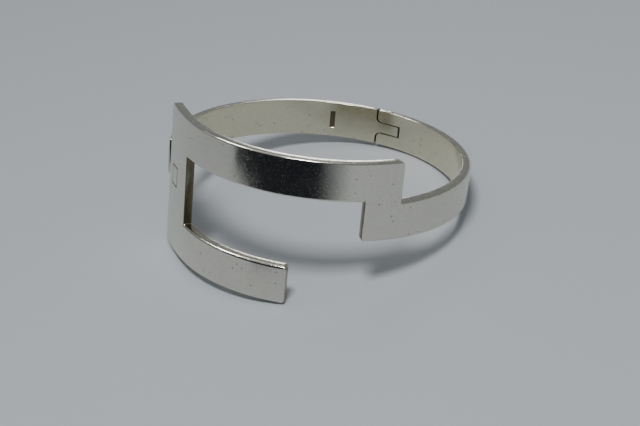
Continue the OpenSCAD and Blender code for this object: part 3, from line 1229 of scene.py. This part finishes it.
@dataclass
class BackAssembly(Assembly):
    """The back band with its knuckle and the tongue that is soldered into it."""

    end_r: float = 0.5
    panel_at: float = 132.0
    panel_l: float = 1.2
    panel_h: float = 4.0
    panel_r: float = 0.15
    tongue_edge: float = 0.06
    tongue_overlap: float = 0.2

    def build(self) -> None:
        """Makes both pieces of the back."""
        self.back_band()
        self.catch_tongue()

    def back_band(self) -> None:
        """The band from the knuckle, past its filed shoulders, to the plate's edge."""
        p, h, corner_r = RING, HINGE, self.band_corner_r
        back_r = p.outer_r + p.back_grow
        pin = math.radians(p.hinge_at) * back_r
        end = math.radians(p.back_to) * back_r - p.seam
        knuckle_low, knuckle_high = span(p.band_mid, h.knuckle_w)
        shoulder, knuckle = pin + h.shoulder, pin - h.knuckle_l
        blend, seam = h.ear_round + h.gap, (self.seam_edge, Film.SEAM)
        outline = [
            Corner(knuckle, knuckle_low, h.knuckle_round, *seam),
            Corner(shoulder, knuckle_low, blend, *seam),
            Corner(shoulder, p.band_bottom, corner_r, self.band_edge),
            Corner(end, p.band_bottom, self.end_r, self.side_edge),
            Corner(end, p.band_top, self.end_r, self.band_edge),
            Corner(shoulder, p.band_top, corner_r, *seam),
            Corner(shoulder, knuckle_high, blend, *seam),
            Corner(knuckle, knuckle_high, h.knuckle_round, *seam),
        ]
        # The panel's sides are square to the ring, so it is longer on the flat blank.
        longer = back_r / (p.inner_r + p.back_grow)
        panel = rectangle(span(math.radians(self.panel_at) * back_r, self.panel_l * longer),
                          span(p.band_mid, self.panel_h), self.panel_r, hole=True)
        blank = Blank("back_blank", outline, 0, p.strip_t, sunk=panel, edge=self.side_edge,
                      spacing=self.spacing)
        mesh = self.bench.bender.bend(blank.mesh(), self.bench.back, self.finishes.polished)
        self.bench.piece("swinging_back", [mesh], "back", "back_band", "polished_silver")

    def catch_tongue(self) -> None:
        """The root let into the band, the tongue bent about the hinge, and its tooth."""
        c, centre, back, edge = CLASP, CATCH.hinge_xy, self.bench.back, self.tongue_edge
        reach = CATCH.mouth.length
        start = math.atan2(CATCH.mouth.y, CATCH.mouth.x) * reach
        about_pin = Mandrel(centre.x, centre.y, reach, reach)
        band_end = math.radians(RING.back_to) * back.along_r
        root_r = back.base_r + RING.strip_t / 2 + c.tongue_rise - RING.band_proud
        in_band = Mandrel(back.centre_x, back.centre_y, root_r, back.along_r)
        faces, tip = span(0, c.tongue_t), start + CATCH.tongue_l
        meshes = []
        for name, ends, (low, high), mandrel in (
                ("tongue_blank", (start - self.tongue_overlap, tip), faces, about_pin),
                ("tooth_blank", (start + CATCH.tooth_from, tip), (faces[0] - c.tooth_h, 0),
                 about_pin),
                ("root_blank", (band_end - c.tongue_root, band_end), faces, in_band)):
            blank = Blank(name, rectangle(ends, span(0, c.tongue_w), 0.1), low, high, edge=edge,
                          under_edge=edge, spacing=0.5, turns=3)
            meshes.append(self.bench.bender.bend(blank.mesh(), mandrel, self.finishes.sheet,
                                                 CATCH.height))
        self.bench.piece("toothed_tongue", meshes, "back", "catch_tongue", "silver_sheet")


@dataclass
class ButtonAssembly(Assembly):
    """The button's face and the yoke that is soldered under it."""

    face_edge: float = 0.13
    into_face: float = 0.03

    def build(self) -> None:
        """Makes both pieces of the button."""
        self.button_face()
        self.button_yoke()

    def button_face(self) -> None:
        """The face, bent to the plate's own curve and flush with it."""
        outline = rectangle(span(CATCH.window_along, CATCH.face_l),
                            span(CATCH.height, CATCH.face_h), CLASP.window_round, film=Film.SEAM)
        blank = Blank("button_blank", outline, RING.strip_t - CLASP.button_t, RING.strip_t,
                      edge=self.face_edge, under_edge=0.04, spacing=0.4, turns=3)
        mesh = self.bench.bender.bend(blank.mesh(), self.bench.plate, self.finishes.polished)
        self.bench.piece("button_plate", [mesh], "button", "button_face", "polished_silver")

    def button_yoke(self) -> None:
        """A stirrup of sheet that reaches round the tongue."""
        g, foot, inner, top_r = CATCH, 0.12, 0.06, 0.05
        leg_in = CLASP.tongue_w / 2 + 2 * CLASP.tongue_gap
        half, top = g.face_h / 2, g.face_bottom + self.into_face
        outline = [
            Corner(-half, g.bar_bottom, foot), Corner(half, g.bar_bottom, foot),
            Corner(half, top, top_r), Corner(leg_in, top, top_r),
            Corner(leg_in, g.bar_top, inner), Corner(-leg_in, g.bar_top, inner),
            Corner(-leg_in, top, top_r), Corner(-half, top, top_r),
        ]
        near = g.bar_from - CLASP.window_in
        blank = Blank("yoke_blank", outline, near, near + CLASP.bar_l, edge=0.03,
                      under_edge=0.03, turns=2)
        turn = Matrix(((0, 1, 0, 0), (0, 0, 1, 0), (1, 0, 0, 0), (0, 0, 0, 1)))
        local = RING.on_plate(CLASP.window_in, g.height) @ turn
        mesh = laid(blank.mesh(), local, self.finishes.sheet)
        self.bench.piece("button_stirrup", [mesh], "button", "button_yoke", "silver_sheet")


# --------------------------------------------------------------------------- studio


@dataclass(frozen=True)
class Softbox:
    """A square area light: its place, what it points at, its side, and its power in watts.

    A light that matt surfaces don't catch is only there for the metal to mirror.
    """

    name: str
    place: Spot
    aim: Spot
    size: float
    power: float
    lights_matt: bool = True

    def hang(self) -> None:
        """Makes the light."""
        light = bpy.data.lights.new(self.name, "AREA")
        light.size = self.size * MM
        light.energy = self.power
        made = bpy.data.objects.new(self.name, light)
        made.location = Vector(self.place) * MM
        facing = Vector(self.aim) - Vector(self.place)
        made.rotation_euler = facing.to_track_quat("-Z", "Y").to_euler()
        made.visible_camera = False
        made.visible_diffuse = self.lights_matt
        bpy.context.scene.collection.objects.link(made)


@dataclass
class Studio:
    """The pale floor, the soft light and the camera."""

    azimuth: float = 51.05
    elevation: float = 32.83
    distance: float = 321.7
    roll: float = 7.08
    lens: float = 84.5
    aim: Spot = (0.27, -0.74, 0.88)
    near_clip: float = 0.01
    floor_half: float = 1500.0
    sky: str = "#c3c7cc"
    sky_strength: float = 0.42
    # The first two light the scene, and the others are there for the metal's edges to mirror.
    softboxes: tuple[Softbox, ...] = (
        Softbox("overhead_softbox", (150, -160, 570), (0, 0, 0), 140, 2.65),
        Softbox("fill_softbox", (-220, 260, 460), (0, 0, 0), 260, 0.2),
        Softbox("glint_softbox", (-290, -150, 520), (0, 0, 0), 160, 1.6, lights_matt=False),
        Softbox("low_softbox", (-291, 313, 67), (-21, 23, 10), 55, 0.05, lights_matt=False),
    )
    # The ends of the card's foot, then its cut edge: how far along, and how high.
    card_foot: tuple[Point, Point] = ((-25, -92), (77, -56))
    card_cut: tuple[Point, ...] = (
        (0, 60), (0.04, 18), (0.27, 14), (0.35, 0.1), (1.25, 0.1), (1.25, 60))

    def build(self) -> None:
        """Makes everything in the studio."""
        self.floor()
        self.lights()
        self.dark_card()
        self.camera()

    def panel(self, name: str, corners: list[Spot],
              material: bpy.types.Material) -> bpy.types.Object:
        """A flat panel that isn't part of the bangle.

        Args:
            name: The panel's name.
            corners: Its corners in order, in millimetres.
            material: Its material.

        Returns:
            The panel's object.
        """
        mesh = bpy.data.meshes.new(name)
        mesh.from_pydata([tuple(v * MM for v in c) for c in corners], [],
                         [tuple(range(len(corners)))])
        mesh.materials.append(material)
        made = bpy.data.objects.new(name, mesh)
        bpy.context.scene.collection.objects.link(made)
        return made

    def floor(self) -> None:
        """The paper that the bangle lies on."""
        half = self.floor_half
        corners = [(-half, -half, 0), (half, -half, 0), (half, half, 0), (-half, half, 0)]
        self.panel("studio_floor", corners, MattPaper().material())

    def lights(self) -> None:
        """An even sky and the softboxes."""
        world = bpy.data.worlds.new("studio_air")
        bpy.context.scene.world = world
        world.use_nodes = True
        back = world.node_tree.nodes["Background"]
        back.inputs["Color"].default_value = linear(self.sky)
        back.inputs["Strength"].default_value = self.sky_strength
        for softbox in self.softboxes:
            softbox.hang()

    def dark_card(self) -> None:
        """A black card beside the bangle, which only its polished faces mirror."""
        near, far = (Vector(end) for end in self.card_foot)
        corners = [(*near.lerp(far, share), height) for share, height in self.card_cut]
        card = self.panel("black_card", corners, BlackCard().material())
        card.visible_camera = False
        card.visible_diffuse = False
        card.visible_shadow = False

    def camera(self) -> None:
        """The camera, turned a little about its own line of sight."""
        azimuth, elevation = math.radians(self.azimuth), math.radians(self.elevation)
        away = Vector((math.sin(azimuth) * math.cos(elevation),
                       -math.cos(azimuth) * math.cos(elevation), math.sin(elevation)))
        data = bpy.data.cameras.new("studio_camera")
        data.lens = self.lens
        data.clip_start = self.near_clip
        made = bpy.data.objects.new("studio_camera", data)
        made.location = (Vector(self.aim) + away * self.distance) * MM
        level = (-away).to_track_quat("-Z", "Y")
        turn = Matrix.Rotation(math.radians(-self.roll), 4, "Z")
        made.rotation_euler = (level.to_matrix().to_4x4() @ turn).to_euler()
        bpy.context.scene.collection.objects.link(made)
        bpy.context.scene.camera = made


def main() -> None:
    """Builds the bangle's pieces in order, then the studio round them."""
    logging.basicConfig(level=logging.INFO, format="%(name)s: %(message)s")
    bench, finishes = Bench(), Finishes.make()
    for assembly in (FrontAssembly, BackAssembly, ButtonAssembly):
        assembly(bench, finishes).build()
    Studio().build()


if __name__ == "__main__":
    main()
